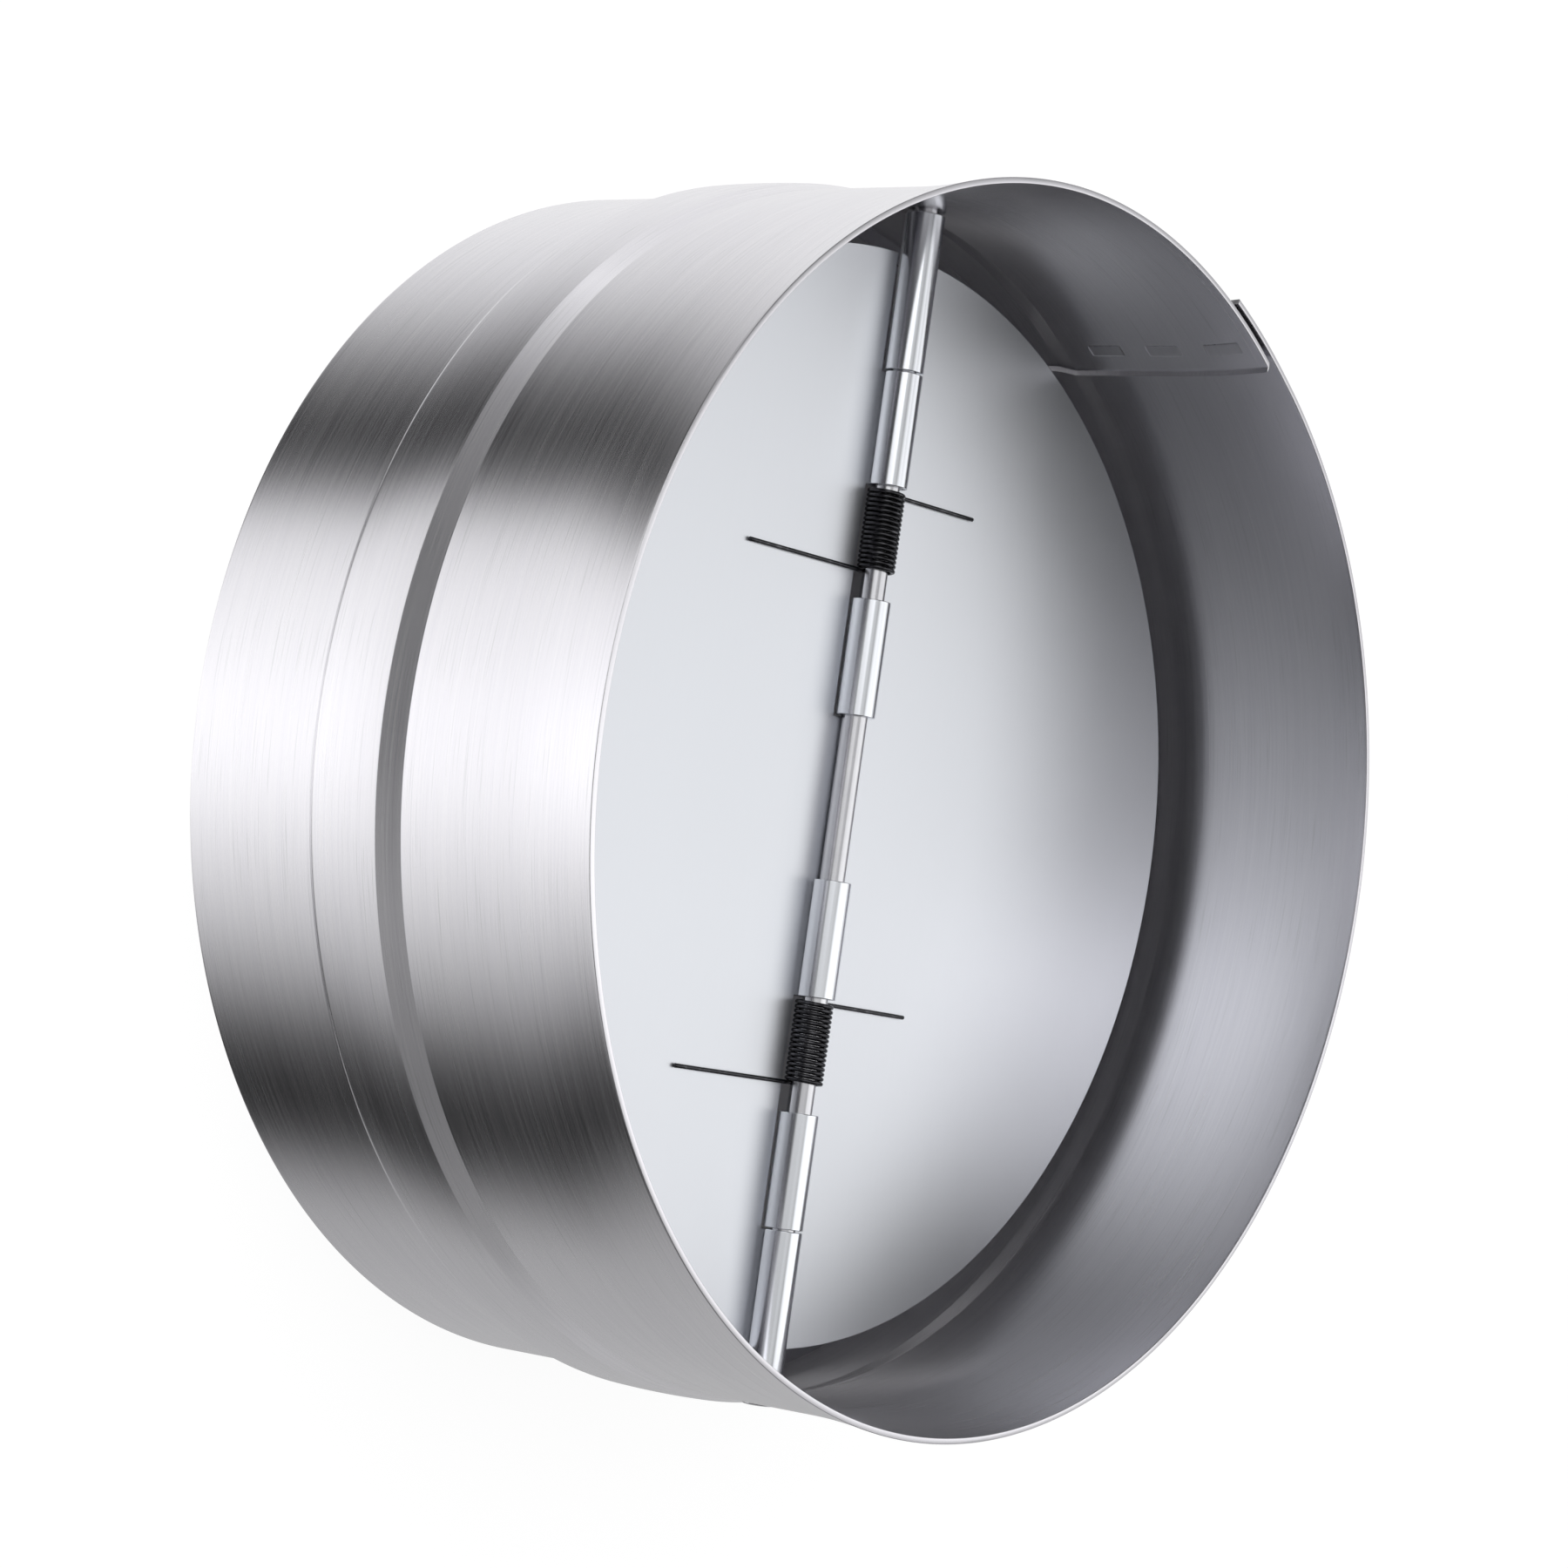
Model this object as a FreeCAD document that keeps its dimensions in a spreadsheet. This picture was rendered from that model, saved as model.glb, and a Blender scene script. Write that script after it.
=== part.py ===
"""Duct backdraft damper for a round air duct of nominal 200 mm.

A short sleeve of rolled sheet metal with a ridge round its middle holds two
half-round blades. The blades hang on one rod across the duct by knuckles rolled
from their own sheet, and two torsion springs press them shut.

Frame, in millimetres: Z runs along the duct from the inlet rim, at zero, to the
outlet rim. Seen from the outlet, Y points up along the hinge rod and X points right.
"""

import FreeCAD
import Part
import os
import re

import Sketcher

V = FreeCAD.Vector

# Driving sizes: name and value, in millimetres or degrees
SIZES = (
    # Sleeve
    ("sheet_thick", 1.0),
    ("body_length", 86.0),
    ("collar_radius", 98.8),
    ("spigot_step", 1.0),
    ("rim_flare", 1.2),
    ("flare_length", 5.0),
    # Ridge round the sleeve
    ("ridge_rise", 1.0),
    ("ridge_crown", 0.25),
    ("ridge_start", 29.1),
    ("ridge_width", 13.3),
    ("back_flank", 2.4),
    ("front_flank", 4.4),
    # Lap seam of the rolled sheet
    ("seam_angle", 66.3),
    ("lap_angle", 10.0),
    ("curl_angle", 30.0),
    ("lap_gap", 0.05),
    # Spot welds along the lap
    ("weld_length", 7.0),
    ("weld_width", 2.8),
    ("weld_dent", 0.12),
    ("weld_edge", 6.5),
    ("weld_pitch", 12.0),
    # Hinge rod
    ("rod_radius", 2.1),
    ("rod_height", 49.8),
    ("rod_hole_play", 0.05),
    ("head_radius", 2.7),
    ("head_rise", 0.9),
    ("head_edge", 0.35),
    ("head_seat", 0.02),
    # Blades
    ("blade_thick", 1.1),
    ("edge_gap", 7.4),
    ("butt_gap", 0.15),
    ("hinge_play", 0.05),
    # Knuckles, measured along the rod from the middle
    ("knuckle_end_gap", 0.6),
    ("knuckle_outer", 70.7),
    ("knuckle_middle", 51.7),
    ("knuckle_inner", 32.8),
    ("knuckle_centre", 13.6),
    ("knuckle_gap", 0.3),
    ("roll_angle", 295.0),
    ("roll_lead", 1.2),
    ("roll_clearance", 0.35),
    # Torsion springs
    ("wire_radius", 0.35),
    ("coil_play", 0.4),
    ("coil_pitch", 0.79),
    ("coil_turns", 18.0),
    ("coil_gap", 0.3),
    ("leg_lean", 35.0),
    ("leg_play", 0.03),
    ("short_leg", 25.5),
    ("long_leg", 30.0),
)

# Sizes that follow from the driving ones
DERIVED = {
    "spigot_radius": "(collar_radius - spigot_step)",
    "ridge_radius": "(collar_radius + ridge_rise)",
    "ridge_end": "(ridge_start + ridge_width)",
    "rim_radius": "(collar_radius + rim_flare)",
    "curl_shift": "((sheet_thick + lap_gap) / (1 - cos(curl_angle)))",
    "curl_start": "(seam_angle + curl_angle)",
    "weld_turn": "(curl_angle + lap_angle / 2)",
    "hinge_bore": "(rod_radius + hinge_play)",
    "knuckle_radius": "(rod_radius + hinge_play + blade_thick)",
    "swing_radius": "(knuckle_radius + roll_clearance)",
    "notch_depth": "(sqrt(swing_radius * swing_radius - hinge_bore * hinge_bore))",
    "blade_radius": "(collar_radius - sheet_thick - edge_gap)",
    "knuckle_end": "(collar_radius - sheet_thick - knuckle_end_gap)",
    "coil_radius": "(rod_radius + coil_play + wire_radius)",
    "leg_height": "(rod_radius + hinge_play - wire_radius - leg_play)",
    "leg_climb": "(coil_radius * cos(leg_lean) - leg_height)",
    "leg_bend": "(coil_radius * sin(leg_lean) + leg_climb / tan(leg_lean))",
    "roll_end": "(-90 - roll_angle)",
    "head_plane": "(collar_radius + head_seat)",
}

# Flats round each turn of a coil
COIL_SIDES = 16

NAMES = tuple(name for name, _ in SIZES)
SIZE_WORD = re.compile(r"\b(" + "|".join(NAMES) + r")\b")
DERIVED_WORD = re.compile(r"\b(" + "|".join(DERIVED) + r")\b")


def cell(text):
    """Spell a formula of size names out as one that reads the spreadsheet."""
    while DERIVED_WORD.search(text):
        text = DERIVED_WORD.sub(lambda found: DERIVED[found.group(1)], text)
    return SIZE_WORD.sub(r"Sizes.\1", text)


class Damper:
    """The document of the damper, with the tools that its pieces are drawn with."""

    def __init__(self):
        self.doc = FreeCAD.newDocument("backdraft_damper")
        sheet = self.doc.addObject("Spreadsheet::Sheet", "Sizes")
        for row, (name, value) in enumerate(SIZES, start=1):
            sheet.set(f"A{row}", name)
            sheet.set(f"B{row}", str(value))
            sheet.setAlias(f"B{row}", name)
        self.gauge = self.doc.addObject("App::VarSet", "Gauge")
        self.gauge.addProperty("App::PropertyFloat", "Reading")
        self.doc.recompute()

    def read(self, text):
        """Work a formula out as a number, to draw near the final size."""
        self.gauge.setExpression("Reading", cell(text))
        self.gauge.recompute()
        return self.gauge.Reading

    def bind(self, item, **formulas):
        """Tie properties of an object to formulas."""
        for name, text in formulas.items():
            item.setExpression(name, cell(text))
        return item

    def place(self, item, prop, base=("0", "0", "0"), turns=(((0, 0, 1), "0"),)):
        """Tie a placement to a point and to one or more turns, the last made first."""
        spins = " * ".join(
            f"rotation(vector({x}; {y}; {z}); {angle})" for (x, y, z), angle in turns
        )
        text = f"create(<<placement>>; vector({'; '.join(base)}); {spins})"
        item.setExpression(prop, cell(text))
        return item

    def body(self, label):
        """Start a body under its own label."""
        body = self.doc.addObject("PartDesign::Body", label)
        body.Label = label
        return body

    def sketch(self, body, name, role, base=("0", "0", "0"), turns=(((0, 0, 1), "0"),)):
        """Attach a sketch to one of the body's own planes, shifted and turned on it."""
        sketch = body.newObject("Sketcher::SketchObject", name)
        plane = next(f for f in body.Origin.OriginFeatures if f.Role == role)
        sketch.AttachmentSupport = (plane, [""])
        sketch.MapMode = "FlatFace"
        self.place(sketch, "AttachmentOffset", base, turns)
        return sketch

    def hold(self, sketch, kind, text, *where):
        """Add a constraint whose value is a formula."""
        number = sketch.addConstraint(Sketcher.Constraint(kind, *where, self.read(text)))
        sketch.setExpression(f"Constraints[{number}]", cell(text))

    def outline(self, sketch, corners, arcs=None):
        """Draw a closed outline through corners, each a pair of formulas.

        arcs maps the number of an edge to the point that it passes through and to
        its radius, all as formulas.
        """
        arcs = arcs or {}
        first = sketch.GeometryCount
        points = [V(self.read(x), self.read(y), 0) for x, y in corners]
        count = len(points)
        for index, start in enumerate(points):
            stop = points[(index + 1) % count]
            if index in arcs:
                (x, y), _ = arcs[index]
                edge = Part.Arc(start, V(self.read(x), self.read(y), 0), stop)
            else:
                edge = Part.LineSegment(start, stop)
            sketch.addGeometry(edge, False)
        for index in range(count):
            here, after = self.ends(sketch, first + index), self.ends(
                sketch, first + (index + 1) % count
            )
            stop = points[(index + 1) % count]
            sketch.addConstraint(
                Sketcher.Constraint(
                    "Coincident",
                    first + index,
                    self.nearest(here, stop),
                    first + (index + 1) % count,
                    self.nearest(after, stop),
                )
            )
        for index, (x, y) in enumerate(corners):
            end = self.nearest(self.ends(sketch, first + index), points[index])
            self.hold(sketch, "DistanceX", x, -1, 1, first + index, end)
            self.hold(sketch, "DistanceY", y, -1, 1, first + index, end)
        for index, (_, radius) in arcs.items():
            self.hold(sketch, "Radius", radius, first + index)

    @staticmethod
    def ends(sketch, edge):
        """Give the start and end points of an edge of a sketch."""
        return sketch.getPoint(edge, 1), sketch.getPoint(edge, 2)

    @staticmethod
    def nearest(ends, point):
        """Say which end, 1 or 2, lies at a point."""
        return 1 if ends[0].distanceToPoint(point) < ends[1].distanceToPoint(point) else 2

    def box(self, sketch, left, bottom, right, top):
        """Draw a rectangle between formulas of its sides."""
        self.outline(sketch, ((left, bottom), (right, bottom), (right, top), (left, top)))

    def circle(self, sketch, x, y, radius):
        """Draw a circle about a point."""
        centre = V(self.read(x), self.read(y), 0)
        edge = sketch.addGeometry(Part.Circle(centre, V(0, 0, 1), self.read(radius)), False)
        self.hold(sketch, "DistanceX", x, -1, 1, edge, 3)
        self.hold(sketch, "DistanceY", y, -1, 1, edge, 3)
        self.hold(sketch, "Radius", radius, edge)

    def pad(self, body, sketch, name, length, reverse=False):
        """Raise a sketch into a solid."""
        pad = body.newObject("PartDesign::Pad", name)
        pad.Profile = sketch
        pad.Reversed = reverse
        return self.bind(pad, Length=length)

    def pocket(self, body, sketch, name, length=None, reverse=False):
        """Cut a sketch out of a body, right through it where no length is given."""
        pocket = body.newObject("PartDesign::Pocket", name)
        pocket.Profile = sketch
        pocket.Reversed = reverse
        if length is None:
            pocket.Type = "ThroughAll"
            pocket.SideType = "Symmetric"
        else:
            self.bind(pocket, Length=length)
        return pocket

    def revolve(self, body, sketch, name, axis, angle, reverse=False):
        """Turn a sketch about one of its lines."""
        turn = body.newObject("PartDesign::Revolution", name)
        turn.Profile = sketch
        turn.ReferenceAxis = (sketch, [axis])
        turn.Reversed = reverse
        return self.bind(turn, Angle=angle)


def sleeve_section(damper, body):
    """Draw the sheet's section, with the ridge and the flared outlet rim."""
    sketch = damper.sketch(body, "sleeve_section", "XZ_Plane")
    inner_ridge = "ridge_radius - sheet_thick"
    inner_collar = "collar_radius - sheet_thick"
    inner_spigot = "spigot_radius - sheet_thick"
    back_bend = "sheet_thick * tan(atan((ridge_radius - spigot_radius) / back_flank) / 2)"
    front_bend = "sheet_thick * tan(atan(ridge_rise / front_flank) / 2)"
    flare_bend = "sheet_thick * tan(atan(rim_flare / flare_length) / 2)"
    corners = (
        ("spigot_radius", "0"),
        ("spigot_radius", "ridge_start - back_flank"),
        ("ridge_radius", "ridge_start"),
        ("ridge_radius", "ridge_end"),
        ("collar_radius", "ridge_end + front_flank"),
        ("collar_radius", "body_length - flare_length"),
        ("rim_radius", "body_length"),
        ("rim_radius - sheet_thick", "body_length"),
        (inner_collar, f"body_length - flare_length + {flare_bend}"),
        (inner_collar, f"ridge_end + front_flank - {front_bend}"),
        (inner_ridge, f"ridge_end - {front_bend}"),
        (inner_ridge, f"ridge_start + {back_bend}"),
        (inner_spigot, f"ridge_start - back_flank + {back_bend}"),
        (inner_spigot, "0"),
    )
    middle = "ridge_start + ridge_width / 2"
    outer_crown = "ridge_width * ridge_width / ridge_crown / 8 + ridge_crown / 2"
    span = f"(ridge_width - {front_bend} - {back_bend})"
    inner_crown = f"{span} * {span} / ridge_crown / 8 + ridge_crown / 2"
    arcs = {
        2: (("ridge_radius + ridge_crown", middle), outer_crown),
        10: ((f"{inner_ridge} + ridge_crown", middle), inner_crown),
    }
    damper.outline(sketch, corners, arcs)
    shift = damper.read("curl_shift")
    axis = Part.LineSegment(V(shift, 0, 0), V(shift, damper.read("body_length"), 0))
    line = sketch.addGeometry(axis, True)
    sketch.addConstraint(Sketcher.Constraint("Vertical", line))
    damper.hold(sketch, "DistanceX", "curl_shift", -1, 1, line, 1)
    damper.hold(sketch, "DistanceY", "body_length", line, 1, line, 2)
    sketch.addConstraint(Sketcher.Constraint("PointOnObject", line, 1, -1))
    return sketch


def weld_row(damper, body, tag, wall, heights):
    """Bridge the two layers of the lap with weld nuggets and dent the inner one."""
    inner_face = f"{wall} - curl_shift * (1 - cos(weld_turn)) - sheet_thick"
    turn = (((0, 1, 0), "-weld_turn"),)
    starts = {"nugget": f"{inner_face} + sheet_thick / 2", "dent": f"{inner_face} - sheet_thick"}
    sketches = {}
    for kind, radius in starts.items():
        base = (f"({radius}) * cos(weld_turn)", "0", f"({radius}) * sin(weld_turn)")
        sketch = damper.sketch(body, f"{tag}_{kind}_outline", "YZ_Plane", base, turn)
        for height in heights:
            damper.box(
                sketch,
                "-weld_width / 2",
                f"{height} - weld_length / 2",
                "weld_width / 2",
                f"{height} + weld_length / 2",
            )
        sketches[kind] = sketch
    bridge = f"{wall} - sheet_thick / 2 - ({starts['nugget']})"
    damper.pad(body, sketches["nugget"], f"{tag}_nuggets", bridge)
    return damper.pocket(
        body, sketches["dent"], f"{tag}_dents", "sheet_thick + weld_dent", reverse=True
    )


def make_casing(damper):
    """Roll the sleeve: a round wall whose last stretch curls in under its first."""
    body = damper.body("casing")
    section = sleeve_section(damper, body)
    damper.revolve(body, section, "round_wall", "V_Axis", "360 - curl_angle")
    damper.revolve(body, section, "curled_end", "Axis0", "curl_angle + lap_angle", reverse=True)
    front = [f"body_length - weld_edge - weld_pitch * {step}" for step in range(3)]
    back = [f"weld_edge + weld_pitch * {step}" for step in range(2)]
    weld_row(damper, body, "collar", "collar_radius", front)
    weld_row(damper, body, "spigot", "spigot_radius", back)
    across = damper.sketch(
        body, "rod_hole_outline", "XZ_Plane", turns=(((0, 1, 0), "-curl_start"),)
    )
    damper.circle(across, "0", "rod_height", "rod_radius + rod_hole_play")
    damper.pocket(body, across, "rod_holes")
    damper.place(body, "Placement", turns=(((0, 0, 1), "curl_start"),))
    return body


def make_rod(damper):
    """Turn the rod with the head that is peened on each end outside the sleeve."""
    body = damper.body("hinge_rod")
    sketch = damper.sketch(body, "rod_section", "XY_Plane")
    top = "head_plane + head_rise"
    brow = f"{top} - head_edge"
    half = (
        ("0", top),
        ("head_radius - head_edge", top),
        ("head_radius", brow),
        ("head_radius", "head_plane"),
        ("rod_radius", "head_plane"),
    )
    mirrored = [(x, f"-({y})") for x, y in reversed(half)]
    damper.outline(sketch, half + tuple(mirrored))
    damper.revolve(body, sketch, "rod_turned", "V_Axis", "360")
    damper.place(body, "Placement", base=("0", "0", "rod_height"))
    return body


def roll_knuckle(damper, body, name, bottom, top):
    """Roll the strip of a knuckle round the rod, from the back of it."""
    sketch = damper.sketch(
        body, f"{name}_section", "XZ_Plane", base=("0", "0", f"-({top})")
    )
    middle = "(-90 - roll_angle / 2)"
    corners = (
        ("roll_lead", "-knuckle_radius"),
        ("0", "-knuckle_radius"),
        ("knuckle_radius * cos(roll_end)", "knuckle_radius * sin(roll_end)"),
        ("hinge_bore * cos(roll_end)", "hinge_bore * sin(roll_end)"),
        ("0", "-hinge_bore"),
        ("roll_lead", "-hinge_bore"),
    )
    arcs = {
        1: ((f"knuckle_radius * cos{middle}", f"knuckle_radius * sin{middle}"), "knuckle_radius"),
        3: ((f"hinge_bore * cos{middle}", f"hinge_bore * sin{middle}"), "hinge_bore"),
    }
    damper.outline(sketch, corners, arcs)
    return damper.pad(body, sketch, name, f"{top} - ({bottom})")


def make_blade(damper, label, turn):
    """Stamp one blade; the other is the same stamping turned half round."""
    body = damper.body(label)
    outline = damper.sketch(body, "blade_outline", "XY_Plane", base=("0", "0", "-knuckle_radius"))
    chord = "sqrt(blade_radius * blade_radius - butt_gap * butt_gap)"
    slant = "blade_radius * cos(45)"
    corners = (("butt_gap", f"-{chord}"), ("blade_radius", "0"), ("butt_gap", chord))
    arcs = {
        0: ((slant, f"-{slant}"), "blade_radius"),
        1: ((slant, slant), "blade_radius"),
    }
    damper.outline(outline, corners, arcs)
    damper.pad(body, outline, "blade_sheet", "blade_thick")

    notches = damper.sketch(body, "notch_outline", "XY_Plane")
    outside = "-knuckle_radius"
    spans = (
        ("knuckle_inner", "knuckle_outer + knuckle_gap / 2"),
        ("-knuckle_middle", "knuckle_gap - knuckle_centre"),
        ("-blade_radius - blade_thick", "knuckle_gap / 2 - knuckle_outer"),
    )
    for bottom, top in spans:
        damper.box(notches, outside, bottom, "notch_depth", top)
    damper.pocket(body, notches, "notches")

    roll_knuckle(damper, body, "outer_knuckle", "knuckle_outer + knuckle_gap / 2", "knuckle_end")
    roll_knuckle(damper, body, "inner_knuckle", "knuckle_centre", "knuckle_inner")
    roll_knuckle(
        damper, body, "far_knuckle", "knuckle_gap / 2 - knuckle_outer", "-knuckle_middle"
    )
    damper.place(body, "Placement", ("0", "0", "rod_height"), (((0, 0, 1), turn),))
    return body


def make_leg(damper, name, side, height, reach):
    """Draw one leg of a spring, from the coil to its tip on the face of a blade."""
    doc = damper.doc
    path = doc.addObject("Sketcher::SketchObject", f"{name}_path")
    damper.place(path, "Placement", ("0", height, "0"), (((1, 0, 0), "90"),))
    start = (f"{side} * coil_radius * sin(leg_lean)", "-coil_radius * cos(leg_lean)")
    bend = (f"{side} * leg_bend", "-leg_height")
    points = (start, bend, (f"{side} * {reach}", "-leg_height"))
    for first, second in zip(points, points[1:]):
        ends = [V(damper.read(x), damper.read(y), 0) for x, y in (first, second)]
        path.addGeometry(Part.LineSegment(*ends), False)
    path.addConstraint(Sketcher.Constraint("Coincident", 0, 2, 1, 1))
    for edge, end, (x, y) in ((0, 1, points[0]), (0, 2, points[1]), (1, 2, points[2])):
        damper.hold(path, "DistanceX", x, -1, 1, edge, end)
        damper.hold(path, "DistanceY", y, -1, 1, edge, end)
    ring = damper.bind(doc.addObject("Part::Circle", f"{name}_ring"), Radius="wire_radius")
    tilt = f"{side} * (90 - leg_lean)"
    damper.place(ring, "Placement", (start[0], height, start[1]), (((0, 1, 0), tilt),))
    doc.recompute()
    leg = doc.addObject("Part::Sweep", name)
    leg.Sections = [ring]
    leg.Spine = (path, ["Edge1", "Edge2"])
    leg.Solid = True
    leg.Transition = "Round corner"
    return leg


def make_coil(damper, label):
    """Wind the close coil: one turn, thickest half way up, repeated along the rod."""
    body = damper.body(f"{label}_coil")
    level = ("0", "0", "-coil_pitch / 2")
    section = damper.sketch(body, f"{label}_turn_section", "XZ_Plane", level)
    outside = "(coil_radius + wire_radius)"
    step = 360 / COIL_SIDES
    damper.outline(
        section,
        [
            (f"{outside} * cos({step * side})", f"{outside} * sin({step * side})")
            for side in range(COIL_SIDES)
        ],
    )
    turn = damper.pad(body, section, f"{label}_turn", "coil_pitch / 2")
    turn.SideType = "Two sides"
    slope = "-atan(2 * wire_radius / coil_pitch)"
    damper.bind(turn, Length2="coil_pitch / 2", TaperAngle=slope, TaperAngle2=slope)
    damper.doc.recompute()
    row = body.newObject("PartDesign::LinearPattern", f"{label}_turns")
    row.Originals = [turn]
    row.Direction = (section, ["N_Axis"])
    row.Reversed = True
    damper.bind(row, Length="coil_pitch * (coil_turns - 1)", Occurrences="coil_turns")
    body.Tip = row
    bore = damper.sketch(body, f"{label}_bore_outline", "XZ_Plane")
    damper.circle(bore, "0", "0", "coil_radius - wire_radius")
    damper.pocket(body, bore, f"{label}_bore")
    return body


def make_spring(damper, label, top):
    """Wind one torsion spring, with a leg on the face of each blade."""
    coil = make_coil(damper, label)
    low, high = "coil_pitch / 2", "coil_pitch * (coil_turns - 1 / 2)"
    long_leg = make_leg(damper, f"{label}_long_leg", "-1", low, "long_leg")
    short_leg = make_leg(damper, f"{label}_short_leg", "1", high, "short_leg")
    spring = damper.doc.addObject("Part::MultiFuse", label)
    spring.Label = label
    spring.Shapes = [coil, long_leg, short_leg]
    start = f"{top} - coil_gap - coil_pitch * coil_turns"
    damper.place(spring, "Placement", ("0", start, "rod_height"))
    return spring


def check_document(doc):
    """Stop if any object of the document failed to build."""
    doc.recompute()
    broken = [item.Name for item in doc.Objects if {"Invalid", "Error"} & set(item.State)]
    if broken:
        raise RuntimeError(f"these did not build: {', '.join(broken)}")


def export(pieces):
    """Write each piece as a file of its own, once all of them are sound."""
    for piece in pieces:
        shape = piece.Shape
        if shape.isNull() or not shape.isValid() or len(shape.Solids) != 1:
            raise RuntimeError(f"{piece.Label} is not one sound solid")
    os.makedirs("parts", exist_ok=True)
    for piece in pieces:
        piece.Shape.exportStep(f"parts/{piece.Label}.step")
        print(f"{piece.Label}: {piece.Shape.Volume:.1f} cubic mm")


def main():
    """Build the damper and write its pieces."""
    damper = Damper()
    pieces = [
        make_casing(damper),
        make_rod(damper),
        make_blade(damper, "blade_right", "0"),
        make_blade(damper, "blade_left", "180"),
        make_spring(damper, "spring_upper", "knuckle_middle"),
        make_spring(damper, "spring_lower", "-knuckle_inner"),
    ]
    check_document(damper.doc)
    export(pieces)


main()
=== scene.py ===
"""The looks of a round duct's backdraft damper, built round its fixed frame.

The sleeve stands on its inlet rim with +Z up the duct. Two half-round blades hang
on one rod along Y, and two torsion springs hold them shut. Everything is in metres.
"""

import logging
import math
from dataclasses import dataclass, field
from enum import Enum
from typing import Any, Sequence

import bmesh
import bpy
from mathutils import Matrix, Vector


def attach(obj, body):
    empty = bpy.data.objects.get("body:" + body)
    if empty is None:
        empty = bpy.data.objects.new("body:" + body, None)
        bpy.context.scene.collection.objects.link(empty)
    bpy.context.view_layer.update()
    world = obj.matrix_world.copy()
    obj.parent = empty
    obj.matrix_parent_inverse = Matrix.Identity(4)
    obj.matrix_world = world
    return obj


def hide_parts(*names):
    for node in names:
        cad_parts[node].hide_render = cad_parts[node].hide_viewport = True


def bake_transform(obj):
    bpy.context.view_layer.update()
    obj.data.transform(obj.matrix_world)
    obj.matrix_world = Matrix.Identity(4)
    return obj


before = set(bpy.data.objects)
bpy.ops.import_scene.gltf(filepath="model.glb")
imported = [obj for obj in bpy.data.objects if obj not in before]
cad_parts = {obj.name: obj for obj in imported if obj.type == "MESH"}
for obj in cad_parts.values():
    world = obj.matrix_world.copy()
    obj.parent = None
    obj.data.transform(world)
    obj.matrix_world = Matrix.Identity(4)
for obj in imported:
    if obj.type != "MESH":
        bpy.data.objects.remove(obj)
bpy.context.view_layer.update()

LOG = logging.getLogger("damper")
MM = 0.001
WHITE = (1.0, 1.0, 1.0, 1.0)
HINGE_HEIGHT = 49.8 * MM

Object = bpy.types.Object
Material = bpy.types.Material
Socket = bpy.types.NodeSocket
Point = tuple[float, float]
Triple = tuple[float, float, float]
Colour = tuple[float, float, float]
Face = tuple[int, ...]


# Shader maths


class Value:
    """The value of one socket, for use in shader maths."""

    def __init__(self, graph: "Graph", socket: Socket) -> None:
        """Hold a graph and one of its output sockets."""
        self.graph = graph
        self.socket = socket

    def __add__(self, other: "Value | float") -> "Value":
        """Add a value or a number."""
        return self.graph.math("ADD", self, other)

    __radd__ = __add__

    def __sub__(self, other: "Value | float") -> "Value":
        """Take a value or a number away."""
        return self.graph.math("SUBTRACT", self, other)

    def __rsub__(self, other: "Value | float") -> "Value":
        """Take this value away from a number."""
        return self.graph.math("SUBTRACT", other, self)

    def __mul__(self, other: "Value | float") -> "Value":
        """Multiply by a value or a number."""
        return self.graph.math("MULTIPLY", self, other)

    __rmul__ = __mul__

    def __truediv__(self, other: "Value | float") -> "Value":
        """Divide by a value or a number."""
        return self.graph.math("DIVIDE", self, other)

    def __rtruediv__(self, other: "Value | float") -> "Value":
        """Divide a number by this value."""
        return self.graph.math("DIVIDE", other, self)

    def __abs__(self) -> "Value":
        """Drop the sign."""
        return self.graph.math("ABSOLUTE", self)


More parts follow.
